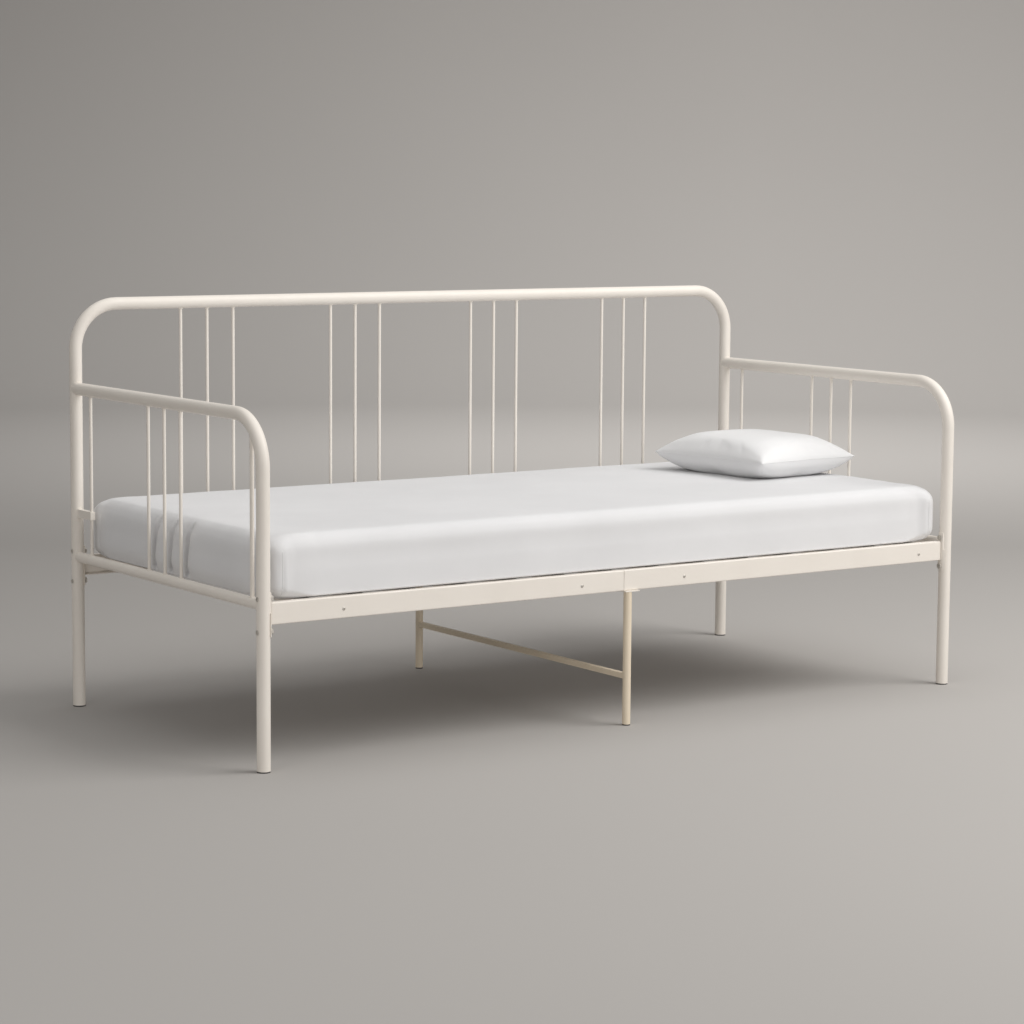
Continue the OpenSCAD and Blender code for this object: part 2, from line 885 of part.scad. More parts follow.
slat_caps(-1);  // slat_caps_front
slat_caps(1);  // slat_caps_rear
mattress();
cushion();
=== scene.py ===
"""Looks of a metal daybed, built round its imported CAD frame.

Metres; +X along the bed, +Y to its high back, +Z up. The steel frame is the CAD's own, painted here, with
weld beads added. The mattress and the cushion are cloth simulations that stand for their plain CAD solids.
"""

import math  # noqa: E402

import bmesh  # noqa: E402
import bpy  # noqa: E402
import numpy as np  # noqa: E402
from mathutils import Matrix, Vector, noise  # noqa: E402
from mathutils.bvhtree import BVHTree  # noqa: E402


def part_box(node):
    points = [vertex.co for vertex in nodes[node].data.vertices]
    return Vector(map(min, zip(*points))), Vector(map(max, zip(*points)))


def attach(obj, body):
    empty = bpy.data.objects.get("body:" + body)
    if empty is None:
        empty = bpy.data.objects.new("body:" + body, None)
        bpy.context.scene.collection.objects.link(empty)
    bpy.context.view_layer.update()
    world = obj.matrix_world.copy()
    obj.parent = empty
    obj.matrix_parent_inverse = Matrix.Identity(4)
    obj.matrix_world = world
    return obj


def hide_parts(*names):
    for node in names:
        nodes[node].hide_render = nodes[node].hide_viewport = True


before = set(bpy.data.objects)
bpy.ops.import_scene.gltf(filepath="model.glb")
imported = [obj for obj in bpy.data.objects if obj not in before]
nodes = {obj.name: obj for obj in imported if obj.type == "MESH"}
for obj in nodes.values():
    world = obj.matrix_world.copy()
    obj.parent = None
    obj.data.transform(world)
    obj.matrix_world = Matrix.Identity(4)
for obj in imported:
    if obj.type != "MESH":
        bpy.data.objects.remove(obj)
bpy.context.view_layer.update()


# ---------- the frame's sizes, read from the CAD ----------

def span(node, axis):
    """Lowest and highest coordinate of a CAD node along axis 0, 1 or 2."""
    lo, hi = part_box(node)
    return lo[axis], hi[axis]


POST_R = (span("front_left_leg", 0)[1] - span("front_left_leg", 0)[0]) / 2
POST_X = span("front_right_leg", 0)[0] + POST_R
POST_Y = span("rear_left_leg", 1)[0] + POST_R
BACK_TOP_Z = span("back_frame", 2)[1] - POST_R
ARM_TOP_Z = span("left_arm_tube", 2)[1] - POST_R
ARM_RAIL_R = (span("left_arm_lower_rail", 2)[1] - span("left_arm_lower_rail", 2)[0]) / 2
ARM_RAIL_Z = span("left_arm_lower_rail", 2)[0] + ARM_RAIL_R
FOOT_BAR_Z = span("back_foot_bar", 2)[1]


# ---------- materials ----------

class Shader:
    """A material's node tree with short calls for the nodes that these materials share."""

    def __init__(self, name, base, roughness, **sockets):
        self.material = bpy.data.materials.new(name)
        self.material.use_nodes = True
        self.tree = self.material.node_tree
        self.surface = self.tree.nodes["Principled BSDF"]
        self.surface.inputs["Base Color"].default_value = (*base, 1)
        self.surface.inputs["Roughness"].default_value = roughness
        for socket, value in sockets.items():
            self.surface.inputs[socket.replace("_", " ")].default_value = value
        coordinates = self.add("ShaderNodeTexCoord")
        self.place = coordinates.outputs["Object"]

    def add(self, kind, **settings):
        node = self.tree.nodes.new(kind)
        for key, value in settings.items():
            setattr(node, key, value)
        return node

    def link(self, source, socket):
        self.tree.links.new(source, socket)

    def maths(self, operation, a, b=None):
        node = self.add("ShaderNodeMath", operation=operation)
        for value, socket in zip((a, b), node.inputs):
            if value is None:
                continue
            if isinstance(value, (int, float)):
                socket.default_value = value
            else:
                self.link(value, socket)
        return node.outputs[0]

    def noise(self, scale, detail=3.0, stretch=(1, 1, 1)):
        mapping = self.add("ShaderNodeMapping")
        mapping.inputs["Scale"].default_value = stretch
        self.link(self.place, mapping.inputs["Vector"])
        texture = self.add("ShaderNodeTexNoise")
        texture.inputs["Scale"].default_value = scale
        texture.inputs["Detail"].default_value = detail
        self.link(mapping.outputs[0], texture.inputs["Vector"])
        return texture.outputs["Fac"]

    def spread(self, fac, low, high, from_low=0.3, from_high=0.7):
        """fac, mapped from the range that noise mostly fills to low..high."""
        node = self.add("ShaderNodeMapRange")
        limits = {"From Min": from_low, "From Max": from_high, "To Min": low, "To Max": high}
        for name, value in limits.items():
            node.inputs[name].default_value = value
        self.link(fac, node.inputs["Value"])
        return node.outputs["Result"]

    def tint(self, fac, colours, lightness=None):
        """Base colour that runs with fac through colours, a list of (position, colour), times lightness."""
        ramp = self.add("ShaderNodeValToRGB")
        elements = ramp.color_ramp.elements
        while len(elements) < len(colours):
            elements.new(0.5)
        for element, (position, colour) in zip(elements, colours):
            element.position = position
            element.color = (*colour, 1)
        self.link(fac, ramp.inputs["Fac"])
        colour = ramp.outputs["Color"]
        if lightness is not None:
            scaled = self.add("ShaderNodeHueSaturation")
            self.link(lightness, scaled.inputs["Value"])
            self.link(colour, scaled.inputs["Color"])
            colour = scaled.outputs["Color"]
        self.link(colour, self.surface.inputs["Base Color"])

    def rough(self, fac):
        self.link(fac, self.surface.inputs["Roughness"])

    def bumps(self, *layers):
        """Bump layers, each (height, strength, distance in metres), the first one lowest."""
        normal = None
        for height, strength, distance in layers:
            bump = self.add("ShaderNodeBump")
            bump.inputs["Strength"].default_value = strength
            bump.inputs["Distance"].default_value = distance
            self.link(height, bump.inputs["Height"])
            if normal is not None:
                self.link(normal, bump.inputs["Normal"])
            normal = bump.outputs["Normal"]
        self.link(normal, self.surface.inputs["Normal"])

    def weave(self, pitch):
        """Plain weave with threads pitch apart, laid on each face from the two axes that lie in it."""
        separate = self.add("ShaderNodeSeparateXYZ")
        self.link(self.place, separate.inputs[0])
        threads = [
            self.maths("SINE", self.maths("MULTIPLY", separate.outputs[axis], math.pi / pitch))
            for axis in range(3)
        ]
        facing = self.add("ShaderNodeSeparateXYZ")
        self.link(self.add("ShaderNodeNewGeometry").outputs["True Normal"], facing.inputs[0])
        total = None
        for axis in range(3):
            toward_lit_side, along = (threads[i] for i in range(3) if i != axis)
            share = self.maths("ABSOLUTE", facing.outputs[axis])
            part = self.maths("MULTIPLY", self.maths("MULTIPLY", toward_lit_side, along), share)
            total = part if total is None else self.maths("ADD", total, part)
        return total


def powder_coat(name, base, shade):
    """Satin powder-coated steel: fine orange peel, and a slightly uneven film."""
    s = Shader(name, base, 0.5, Coat_Weight=0.05, Coat_Roughness=0.3, IOR=1.5)
    cloudy = s.noise(9, 4)
    s.tint(s.spread(cloudy, 0, 1), [(0, shade), (1, base)])
    s.rough(s.spread(s.noise(55, 3), 0.46, 0.56))
    s.bumps((s.noise(420, 2), 0.10, 0.0004), (s.noise(1500, 1), 0.05, 0.0002))
    return s.material


def zinc_steel(name):
    """Pale zinc-plated steel with fine turning marks."""
    s = Shader(name, (0.62, 0.59, 0.54), 0.42, Metallic=0.55)
    s.tint(s.spread(s.noise(160, 3), 0, 1), [(0, (0.56, 0.53, 0.48)), (1, (0.68, 0.65, 0.60))])
    s.rough(s.spread(s.noise(300, 4), 0.34, 0.52))
    s.bumps((s.noise(2600, 2, (1, 1, 0.2)), 0.12, 0.0001))
    return s.material


def moulded_plastic(name, base, pale):
    """Moulded plastic with a fine spark-eroded grain."""
    s = Shader(name, base, 0.55)
    s.tint(s.spread(s.noise(80, 3), 0, 1), [(0, base), (1, pale)])
    s.rough(s.spread(s.noise(200, 3), 0.48, 0.64))
    s.bumps((s.noise(1800, 3), 0.2, 0.0002))
    return s.material


def cotton(name, base, shade, pitch, crumple):
    """White woven cotton: threads, slubs and faint creases from wear."""
    s = Shader(name, base, 0.85, Sheen_Weight=0.12, Sheen_Roughness=0.5, Specular_IOR_Level=0.25)
    weave = s.weave(pitch)
    slub = s.noise(240, 3, (1, 0.15, 1))
    s.tint(s.spread(s.noise(5, 5), 0, 1), [(0, shade), (1, base)])
    s.rough(s.spread(slub, 0.78, 0.94))
    s.bumps(
        (s.noise(6, 4, (0.6, 1.4, 1)), crumple, 0.012),
        (s.noise(34, 4, (0.7, 1.2, 1)), crumple * 0.5, 0.003),
        (slub, 0.12, 0.0006),
        (weave, 0.25, 0.0003),
    )
    return s.material


PAINT = powder_coat("paint", (0.91, 0.857, 0.788), (0.885, 0.83, 0.76))
# a darker, warmer copy of the frame paint: painted shade for the parts under the bed, not a paint of their
# own
SHADED_FRAME_PAINT = powder_coat("frame_paint_painted_shade", (0.88, 0.765, 0.60), (0.84, 0.725, 0.56))
STEEL = zinc_steel("steel")
GLIDE = moulded_plastic("glide", (0.025, 0.024, 0.023), (0.045, 0.043, 0.040))
COVER = moulded_plastic("cover", (0.885, 0.83, 0.76), (0.91, 0.857, 0.788))
SHEET = cotton("sheet", (0.80, 0.80, 0.81), (0.765, 0.765, 0.775), 0.0011, 0.10)
LINEN = cotton("cushion_cloth", (0.86, 0.86, 0.865), (0.83, 0.83, 0.835), 0.0012, 0.14)
FINISHES = {
    "frame_paint": PAINT,
    "fastener_steel": STEEL,
    "glide_plastic": GLIDE,
    "cover_plastic": COVER,
    "mattress_fabric": SHEET,
    "cushion_fabric": LINEN,
}
# the parts under the bed that get that copy of the frame paint, as painted shade
PARTS_IN_PAINTED_SHADE = ("mid_front_leg", "mid_rear_leg", "mid_cross_bar")


def paint_cad_nodes():
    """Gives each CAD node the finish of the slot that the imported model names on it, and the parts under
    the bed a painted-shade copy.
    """
    for name, node in nodes.items():
        for i, material in enumerate(node.data.materials):
            finish = FINISHES[material.name.split(".")[0]]
            node.data.materials[i] = SHADED_FRAME_PAINT if name in PARTS_IN_PAINTED_SHADE else finish


def new_piece(name, mesh, material, body, smooth=True):
    """A visible piece made of mesh, which rides on a CAD body."""
    piece = bpy.data.objects.new(name, mesh)
    bpy.context.scene.collection.objects.link(piece)
    mesh.materials.clear()
    mesh.materials.append(material)
    mesh.polygons.foreach_set("use_smooth", [smooth] * len(mesh.polygons))
    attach(piece, body)
    return piece


# ---------- weld beads ----------

BEAD_R = 0.0017
BEAD_STEPS = 40
BEAD_SIDES = 10
# ripple of a bead: share of its radius, waves round the rod, and its turn for each metre along the frame
RIPPLE_DEEP, RIPPLES, RIPPLE_TURN = 0.14, 9, 40
# vertices further apart than this belong to different rods
ROD_APART = 0.01


def add_bead(bm, centre, rod_r, tube_r, along, away):
    """A weld bead where a rod meets a tube, or a flat face where tube_r is 0.

    centre is on the tube's axis, along is that axis and away is the way the rod runs off from it.
    """
    along, away = Vector(along), Vector(away)
    side = away.cross(along)
    rings = []
    for i in range(BEAD_STEPS):
        a = 2 * math.pi * i / BEAD_STEPS
        out = math.cos(a) * along + math.sin(a) * side
        rise = math.sqrt(tube_r**2 - (rod_r * math.sin(a)) ** 2) if tube_r else 0
        ripple = 1 + RIPPLE_DEEP * math.sin(RIPPLES * a + RIPPLE_TURN * (centre.x + centre.y))
        at = centre + rod_r * out + rise * away
        ring = []
        for j in range(BEAD_SIDES):
            b = 2 * math.pi * j / BEAD_SIDES
            ring.append(bm.verts.new(at + BEAD_R * ripple * (math.cos(b) * out + math.sin(b) * away)))
        rings.append(ring)
    for i, ring in enumerate(rings):
        after = rings[(i + 1) % BEAD_STEPS]
        for j in range(BEAD_SIDES):
            k = (j + 1) % BEAD_SIDES
            bm.faces.new((ring[j], ring[k], after[k], after[j]))


def rod_places(node, axis):
    """Centres along axis of the separate rods in a CAD node, and their radius."""
    co = np.array([v.co[axis] for v in nodes[node].data.vertices])
    ordered = np.sort(co)
    cuts = np.where(np.diff(ordered) > ROD_APART)[0] + 1
    groups = np.split(ordered, cuts)
    return [float(g[0] + g[-1]) / 2 for g in groups], float(groups[0][-1] - groups[0][0]) / 2


def weld_beads():
    x_axis, y_axis, z_axis = (1, 0, 0), (0, 1, 0), (0, 0, 1)
    down = (0, 0, -1)
    back = bmesh.new()
    for group in ("far_left", "mid_left", "mid_right", "far_right"):
        xs, r = rod_places(f"back_rods_{group}", 0)
        for x in xs:
            add_bead(back, Vector((x, POST_Y, BACK_TOP_Z)), r, POST_R, x_axis, down)
            add_bead(back, Vector((x, POST_Y, FOOT_BAR_Z)), r, 0, x_axis, z_axis)
    arms = []
    for name, side in (("left", -1), ("right", 1)):
        bm = bmesh.new()
        ys, r = rod_places(f"{name}_arm_rods", 1)
        for y in ys:
            add_bead(bm, Vector((side * POST_X, y, ARM_TOP_Z)), r, POST_R, y_axis, down)
            add_bead(bm, Vector((side * POST_X, y, ARM_RAIL_Z)), r, ARM_RAIL_R, y_axis, z_axis)
        for end in (-1, 1):
            post = Vector((side * POST_X, end * POST_Y, ARM_RAIL_Z))
            add_bead(bm, post, ARM_RAIL_R, POST_R, z_axis, (0, -end, 0))
        arms.append(bm)
    ys, r = rod_places("left_arm_front_rod", 1)
    add_bead(arms[0], Vector((-POST_X, ys[0], ARM_RAIL_Z)), r, ARM_RAIL_R, y_axis, z_axis)
    for bm, name in ((back, "back"), (arms[0], "left_arm"), (arms[1], "right_arm")):
        bmesh.ops.recalc_face_normals(bm, faces=bm.faces)
        mesh = bpy.data.meshes.new(f"{name}_weld_beads")
        bm.to_mesh(mesh)
        bm.free()
        new_piece(f"{name}_weld_beads", mesh, PAINT, "frame")


# ---------- cloth ----------

def inflate(mesh, pressure, cap, voxel=None, frames=20, stiffness=15.0, bending=0.5):
    """Swells a closed mesh with Blender's cloth and caps how far each point moves. Returns the new mesh."""
    body = bpy.data.objects.new("cloth", mesh)
    bpy.context.scene.collection.objects.link(body)
    bpy.context.view_layer.objects.active = body
    body.select_set(True)
    if voxel:
        mesh.remesh_voxel_size = voxel
        bpy.ops.object.voxel_remesh()
        mesh = body.data
    rest = np.empty(len(mesh.vertices) * 3)
    mesh.vertices.foreach_get("co", rest)
    rest = rest.reshape(-1, 3)
    modifier = body.modifiers.new("Cloth", "CLOTH")
    settings = modifier.settings
    settings.quality = 5
    settings.mass = 0.3
    settings.tension_stiffness = settings.compression_stiffness = stiffness
    settings.shear_stiffness = stiffness / 3
    settings.bending_stiffness = bending
    settings.use_pressure = True
    settings.uniform_pressure_force = pressure
    settings.effector_weights.gravity = 0
    modifier.point_cache.frame_start, modifier.point_cache.frame_end = 1, frames
    for step in range(1, frames + 1):
        bpy.context.scene.frame_set(step)
    swollen = body.evaluated_get(bpy.context.evaluated_depsgraph_get()).to_mesh()
    moved = np.empty(len(swollen.vertices) * 3)
    swollen.vertices.foreach_get("co", moved)
    body.evaluated_get(bpy.context.evaluated_depsgraph_get()).to_mesh_clear()
    shift = moved.reshape(-1, 3) - rest
    length = np.linalg.norm(shift, axis=1, keepdims=True)
    shift *= np.minimum(1, cap / np.maximum(length, 1e-9))
    mesh.vertices.foreach_set("co", (rest + shift).ravel())
    bpy.data.objects.remove(body)
    bpy.context.scene.frame_set(1)
    return mesh


def points(mesh):
    co = np.empty(len(mesh.vertices) * 3)
    mesh.vertices.foreach_get("co", co)
    return co.reshape(-1, 3)


def set_points(mesh, co):
    mesh.vertices.foreach_set("co", co.ravel())
    mesh.update()


def subdivided(mesh, levels):
    """mesh after a subdivision surface of that many levels."""
    body = bpy.data.objects.new("subdivide", mesh)
    bpy.context.scene.collection.objects.link(body)
    modifier = body.modifiers.new("Subdivision", "SUBSURF")
    modifier.levels = modifier.render_levels = levels
    made = bpy.data.meshes.new_from_object(body.evaluated_get(bpy.context.evaluated_depsgraph_get()))
    bpy.data.objects.remove(body)
    return made


def ease(x, low, high):
    """0 below low, 1 above high, smooth between them."""
    t = np.clip((x - low) / (high - low), 0, 1)
    return t * t * (3 - 2 * t)


def soft_limit(t, limit, margin):
    """t, eased so that it nears limit but never passes it."""
    over = np.maximum(t - (limit - margin), 0)
    return np.minimum(t, limit - margin) + margin * (1 - np.exp(-over / margin))


def seam_tube(bm, line, radius, closed=False, sides=6):
    """Adds a thin tube along the points of line to bm."""
    rings = []
    count = len(line)
    for i, at in enumerate(line):
        before = line[i - 1] if closed or i > 0 else at
        after = line[(i + 1) % count] if closed or i + 1 < count else at
        ahead = (after - before).normalized()
        side = ahead.orthogonal() if abs(ahead.z) > 0.9 else ahead.cross(Vector((0, 0, 1))).normalized()
        side.normalize()
        up = side.cross(ahead)
        ring = []
        for j in range(sides):
            a = 2 * math.pi * j / sides
            ring.append(bm.verts.new(at + radius * (math.cos(a) * side + math.sin(a) * up)))
        rings.append(ring)
    for i in range(count if closed else count - 1):
        a, b = rings[i], rings[(i + 1) % count]
        for j in range(sides):
            k = (j + 1) % sides
            bm.faces.new((a[j], a[k], b[k], b[j]))
    if not closed:
        bm.faces.new(list(reversed(rings[0])))
        bm.faces.new(rings[-1])


def noise_at(co, stretch, scale, seed):
    """Smooth noise about 0 at each point."""
    offset = Vector((seed, 0, 0))
    return np.array([noise.noise(Vector(p) * scale + offset) for p in co * np.array(stretch)])


# ---------- mattress ----------

M_LO, M_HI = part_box("mattress")
M_HALF = (M_HI - M_LO) / 2
M_MID = (M_HI + M_LO) / 2
# round top edge: its height, its width and the power of its superellipse
EDGE_TOP, EDGE_ROLL, EDGE_POWER = 0.048, 0.050, 2.6
# bottom edge: its radius in the cloth, and after it is drawn out along the sides
EDGE_BOTTOM, EDGE_CRISP = 0.030, 0.005
BOTTOM_STEPS, TOP_STEPS = 8, 14
# upright corners: their radius, and how it changes with the inset of the edges below and above
CORNER_R, CORNER_LOW, CORNER_HIGH = 0.045, -0.6, 0.25
# filling the upright corners: where they turn, how far in it fades, and the band that it is measured in
TURN_FADE, TURNED = (-0.03, 0.02), 0.9
INNER_FADE, OUTER = (0.05, 0.15), 0.03
MID_HEIGHT, MID_BAND = 0.07, 0.015
# the crisp bottom edge: where it begins beside a corner, and the height up to which it draws the side along
CRISP_START = (-0.02, 0.08)
CRISP_HEIGHT = (0.015, 0.10)
# shadow gap under the bottom edge: its height, its depth, and the share of that at full height
SLOT_H, SLOT_DEEP, SLOT_FLAT = 0.0032, 0.016, 0.6
# cloth: how much smaller it starts at the sides and the top, its cell, and the most that it may move
M_SWELL, M_RISE, M_VOXEL, M_CAP = 0.002, 0.001, 0.010, 0.009
# how far the long sides may pass the CAD solid, and over what length sides and top ease to their limits
SIDE_GIVE, SIDE_EASE, TOP_EASE = 0.0015, 0.004, 0.003
# uneven surface: the depth of its soft layer, what is left of it on the flanks, the depth of its fine layer,
# and the stretch, scale and seed of each
SOFT_DEEP, SOFT_FLANK, SOFT_NOISE = 0.0012, 0.2, ((0.7, 1.2, 1.0), 5.0, 3.1)
FINE_DEEP, FINE_NOISE = 0.0005, ((0.8, 1.3, 1.0), 17.0, 8.7)
# ends: how much they swell, from what height, and how far in from the end
END_BULGE, END_FOOT, END_REACH = 0.0105, 0.004, 0.05
# the swell's fade towards the corners, and the heights between which it is full
BULGE_FADE = (0.32, 0.42)
BULGE_LOW, BULGE_HIGH = 0.04, 0.085
# dents by the rods of the middle group: depth, how far behind the rod, reach to the rear and the front,
# and the heights between which they are full
MIDDLE_GROUP = 0.2
ROD_DENT, DENT_SHIFT = 0.0090, 0.013
DENT_REAR, DENT_FRONT = 0.006, 0.019
DENT_LOW, DENT_HIGH = 0.02, 0.115
# the sharp crease in each dent: depth and reach
ROD_CREASE, CREASE_WIDE = 0.0110, 0.0050
# cells are halved this far in from each end, and this far to either side of a crease
REFINE_DEEP, REFINE_WIDE = 0.03, 0.026
# corner folds: depth, lean with height, fades at foot and top, widths, and a different turn at each corner
FOLD_DEEP, FOLD_LEAN = 0.0004, 1.6
FOLD_FOOT, FOLD_FADE = (-1.0, -0.7), (-0.62, -0.1)
WIDE_FOLD_MM, NARROW_FOLD_MM, NARROW_SHARE = 4.2, 2.3, 0.6
CORNER_TURN_X, CORNER_TURN_Y = 1.7, 0.9
# corner seams: their place round the corner and their width in degrees, and how deep they pinch the sheet
SEAM_ANGLE, SEAM_WIDE, SEAM_PINCH = 80, 7.0, 0.0016
# the stitched tube up each seam: points, height of the first, step, how far it is sunk, radius
SEAM_STEPS, SEAM_FOOT, SEAM_PITCH = 25, 0.010, 0.0042
SEAM_SUNK, SEAM_R = 0.0002, 0.0009


def round_outline(hx, hy, r, steps=10):
    """Points of a rounded rectangle, anticlockwise."""
    out = []
    for quarter, (sx, sy) in enumerate(((1, 1), (-1, 1), (-1, -1), (1, -1))):
        for i in range(steps + 1):
            a = math.pi / 2 * (quarter + i / steps)
            out.append((sx * (hx - r) + r * math.cos(a), sy * (hy - r) + r * math.sin(a)))
    return out


def lofted(sections):
    """A closed mesh through sections, each (z, half x, half y, corner radius)."""
    bm = bmesh.new()
    rings = []
    for z, hx, hy, r in sections:
        rings.append([bm.verts.new((x, y, z)) for x, y in round_outline(hx, hy, r)])
    for low, high in zip(rings, rings[1:]):
        for i in range(len(low)):
            k = (i + 1) % len(low)
            bm.faces.new((low[i], low[k], high[k], high[i]))
    bm.faces.new(list(reversed(rings[0])))
    bm.faces.new(rings[-1])
    mesh = bpy.data.meshes.new("loft")
    bm.to_mesh(mesh)
    bm.free()
    return mesh


def mattress_block():
    """The mattress before it swells, with round edges, a little inside its CAD solid."""
    hx, hy, hz = M_HALF.x - M_SWELL, M_HALF.y - M_SWELL, M_HALF.z - M_RISE
    sections = []
    for i in range(BOTTOM_STEPS + 1):
        a = math.pi / 2 * i / BOTTOM_STEPS
        d = EDGE_BOTTOM * (1 - math.sin(a))
        z = -hz + EDGE_BOTTOM * (1 - math.cos(a))
        sections.append((z, hx - d, hy - d, CORNER_R + d * CORNER_LOW))
    for i in range(TOP_STEPS + 1):
        a = math.pi / 2 * i / TOP_STEPS
        d = EDGE_ROLL * (1 - max(math.cos(a), 0) ** (2 / EDGE_POWER))
        z = hz - EDGE_TOP * (1 - math.sin(a) ** (2 / EDGE_POWER))
        sections.append((z, hx - d, hy - d, CORNER_R + d * CORNER_HIGH))
    return lofted(sections)


def plan_inset(co):
    """Each point's depth inside the mattress's outline, its way out in plan, and its corner offset."""
    q = np.abs(co[:, :2]) - (np.array((M_HALF.x, M_HALF.y)) - CORNER_R)
    beyond = np.maximum(q, 0)
    length = np.linalg.norm(beyond, axis=1)
    inset = CORNER_R - length - np.minimum(q.max(axis=1), 0)
    straight = np.zeros_like(q)
    straight[np.arange(len(q)), q.argmax(axis=1)] = 1
    curved = beyond / np.maximum(length, 1e-9)[:, None]
    out = np.where((length > 1e-9)[:, None], curved, straight) * np.sign(co[:, :2])
    return inset, out, q


def squeezed(t, edge):
    """t with the range up to EDGE_BOTTOM shrunk to edge, and the next as much stretched to match."""
    r = EDGE_BOTTOM
    return np.where(t < r, t * edge / r, np.where(t < 2 * r, edge + (t - r) * (2 * r - edge) / r, t))


def fill_corners(co):
    """Moves the upright corners back out by as much as the cloth drew them in."""
    inset, out, q = plan_inset(co)
    turn = ease(q.min(axis=1), *TURN_FADE)
    level = np.abs(co[:, 2] + M_HALF.z - MID_HEIGHT) < MID_BAND
    drawn_in = np.median(inset[level & (inset < OUTER) & (turn > TURNED)])
    co[:, :2] += out * (turn * drawn_in * (1 - ease(inset, *INNER_FADE)))[:, None]


def crisp_bottom(co):
    """Draws the round bottom edge out to a crisp one along the sides; it stays round at the corners."""
    inset, out, q = plan_inset(co)
    low = co[:, 2] + M_HALF.z
    edge = EDGE_CRISP + (EDGE_BOTTOM - EDGE_CRISP) * (1 - ease(-q.min(axis=1), *CRISP_START))
    share = 1 - ease(low, *CRISP_HEIGHT)
    tight = squeezed(np.maximum(inset, 0), edge) + np.minimum(inset, 0)
    co[:, :2] += out * (share * (inset - tight))[:, None]
    co[:, 2] = np.where(low < 2 * EDGE_BOTTOM, squeezed(low, edge) - M_HALF.z, co[:, 2])
    inset = plan_inset(co)[0]
    low = co[:, 2] + M_HALF.z
    under = 1 - ease(inset, SLOT_FLAT * SLOT_DEEP, SLOT_DEEP)
    co[:, 2] += SLOT_H * under * (1 - ease(low, 0.0, EDGE_BOTTOM))


def pressing_rods(arm):
    """Places along Y of the rods of one arm that the mattress creases at: its middle group."""
    return [y for y in rod_places(f"{arm}_arm_rods", 1)[0] if abs(y) < MIDDLE_GROUP]


def refine_ends(mesh):
    """Halves the cells of the mattress's ends near each rod, so that the creases come out clean."""
    bm = bmesh.new()
    bm.from_mesh(mesh)
    creases_at = {arm: pressing_rods(arm) for arm in ("left", "right")}

    def near_rod(v):
        if abs(v.co.x) <= M_HALF.x - REFINE_DEEP:
            return False
        creases = creases_at["left" if v.co.x < 0 else "right"]
        return any(abs(v.co.y + M_MID.y - DENT_SHIFT - y) < REFINE_WIDE for y in creases)

    near = {v for v in bm.verts if near_rod(v)}
    edges = [e for e in bm.edges if e.verts[0] in near and e.verts[1] in near]
    bmesh.ops.subdivide_edges(bm, edges=edges, cuts=1, use_grid_fill=True)
    bm.to_mesh(mesh)
    bm.free()


def end_bulge(co):
    """The ends swell towards the arms, with a crease just behind each rod of the middle group."""
    low = co[:, 2] + M_HALF.z
    y = co[:, 1] + M_MID.y
    thickness = 2 * M_HALF.z
    toward_lit_side = 1 - ease(np.abs(y), *BULGE_FADE)
    swell = END_BULGE * toward_lit_side * ease(low, END_FOOT, BULGE_LOW) * (1 - ease(low, BULGE_HIGH, thickness))
    pinch = ease(low, END_FOOT, DENT_LOW) * (1 - ease(low, DENT_HIGH, thickness))
    for side, arm in ((-1, "left"), (1, "right")):
        near = 1 - ease(M_HALF.x - side * co[:, 0], 0, END_REACH)
        dents = 0
        for rod in pressing_rods(arm):
            off = y - rod - DENT_SHIFT
            dents = dents + ROD_DENT * np.exp(-((off / np.where(off > 0, DENT_REAR, DENT_FRONT)) ** 2))
            dents = dents + ROD_CREASE * np.exp(-((off / CREASE_WIDE) ** 2))
        co[:, 0] += side * near * (swell - pinch * dents)


def corner_gathers(co):
    """Upright folds in the fitted sheet where it turns each corner, gone before the top edge."""
    q = plan_inset(co)[2]
    turn = ease(q.min(axis=1), -CORNER_R, 0.0)
    height = co[:, 2] / M_HALF.z
    band = ease(height, *FOLD_FOOT) * ease(-height, *FOLD_FADE)
    corner = np.sign(co[:, 0]) * CORNER_TURN_X + np.sign(co[:, 1]) * CORNER_TURN_Y
    run_mm = 1000 * (np.where(q[:, 1] > q[:, 0], -q[:, 0], q[:, 1]) + CORNER_R)
    folds = np.sin(run_mm / WIDE_FOLD_MM + corner + FOLD_LEAN * height)
    folds += NARROW_SHARE * np.sin(run_mm / NARROW_FOLD_MM - 2 * corner)
    seam = np.exp(-((np.degrees(np.arctan2(q[:, 1], q[:, 0])) - SEAM_ANGLE) / SEAM_WIDE) ** 2)
    return turn * band * (FOLD_DEEP * folds - SEAM_PINCH * seam)


def corner_seams(mesh):
    """A stitched seam up each corner of the sheet, laid on the finished mattress."""
    surface = BVHTree.FromPolygons([v.co for v in mesh.vertices], [p.vertices for p in mesh.polygons])
    bm = bmesh.new()
    angle = math.radians(SEAM_ANGLE)
    for sx in (-1, 1):
        for sy in (-1, 1):
            out = Vector((sx * math.cos(angle), sy * math.sin(angle), 0))
            line = []
            for i in range(SEAM_STEPS):
                z = M_LO.z + SEAM_FOOT + SEAM_PITCH * i
                start = Vector((sx * (M_HALF.x - CORNER_R), M_MID.y + sy * (M_HALF.y - CORNER_R), z))
                hit = surface.ray_cast(start, out)[0]
                if hit is not None:
                    line.append(hit - SEAM_SUNK * out)
            seam_tube(bm, line, SEAM_R)
    made = bpy.data.meshes.new("mattress_corner_seams")
    bm.to_mesh(made)
    bm.free()
    new_piece("mattress_corner_seams", made, SHEET, "mattress")


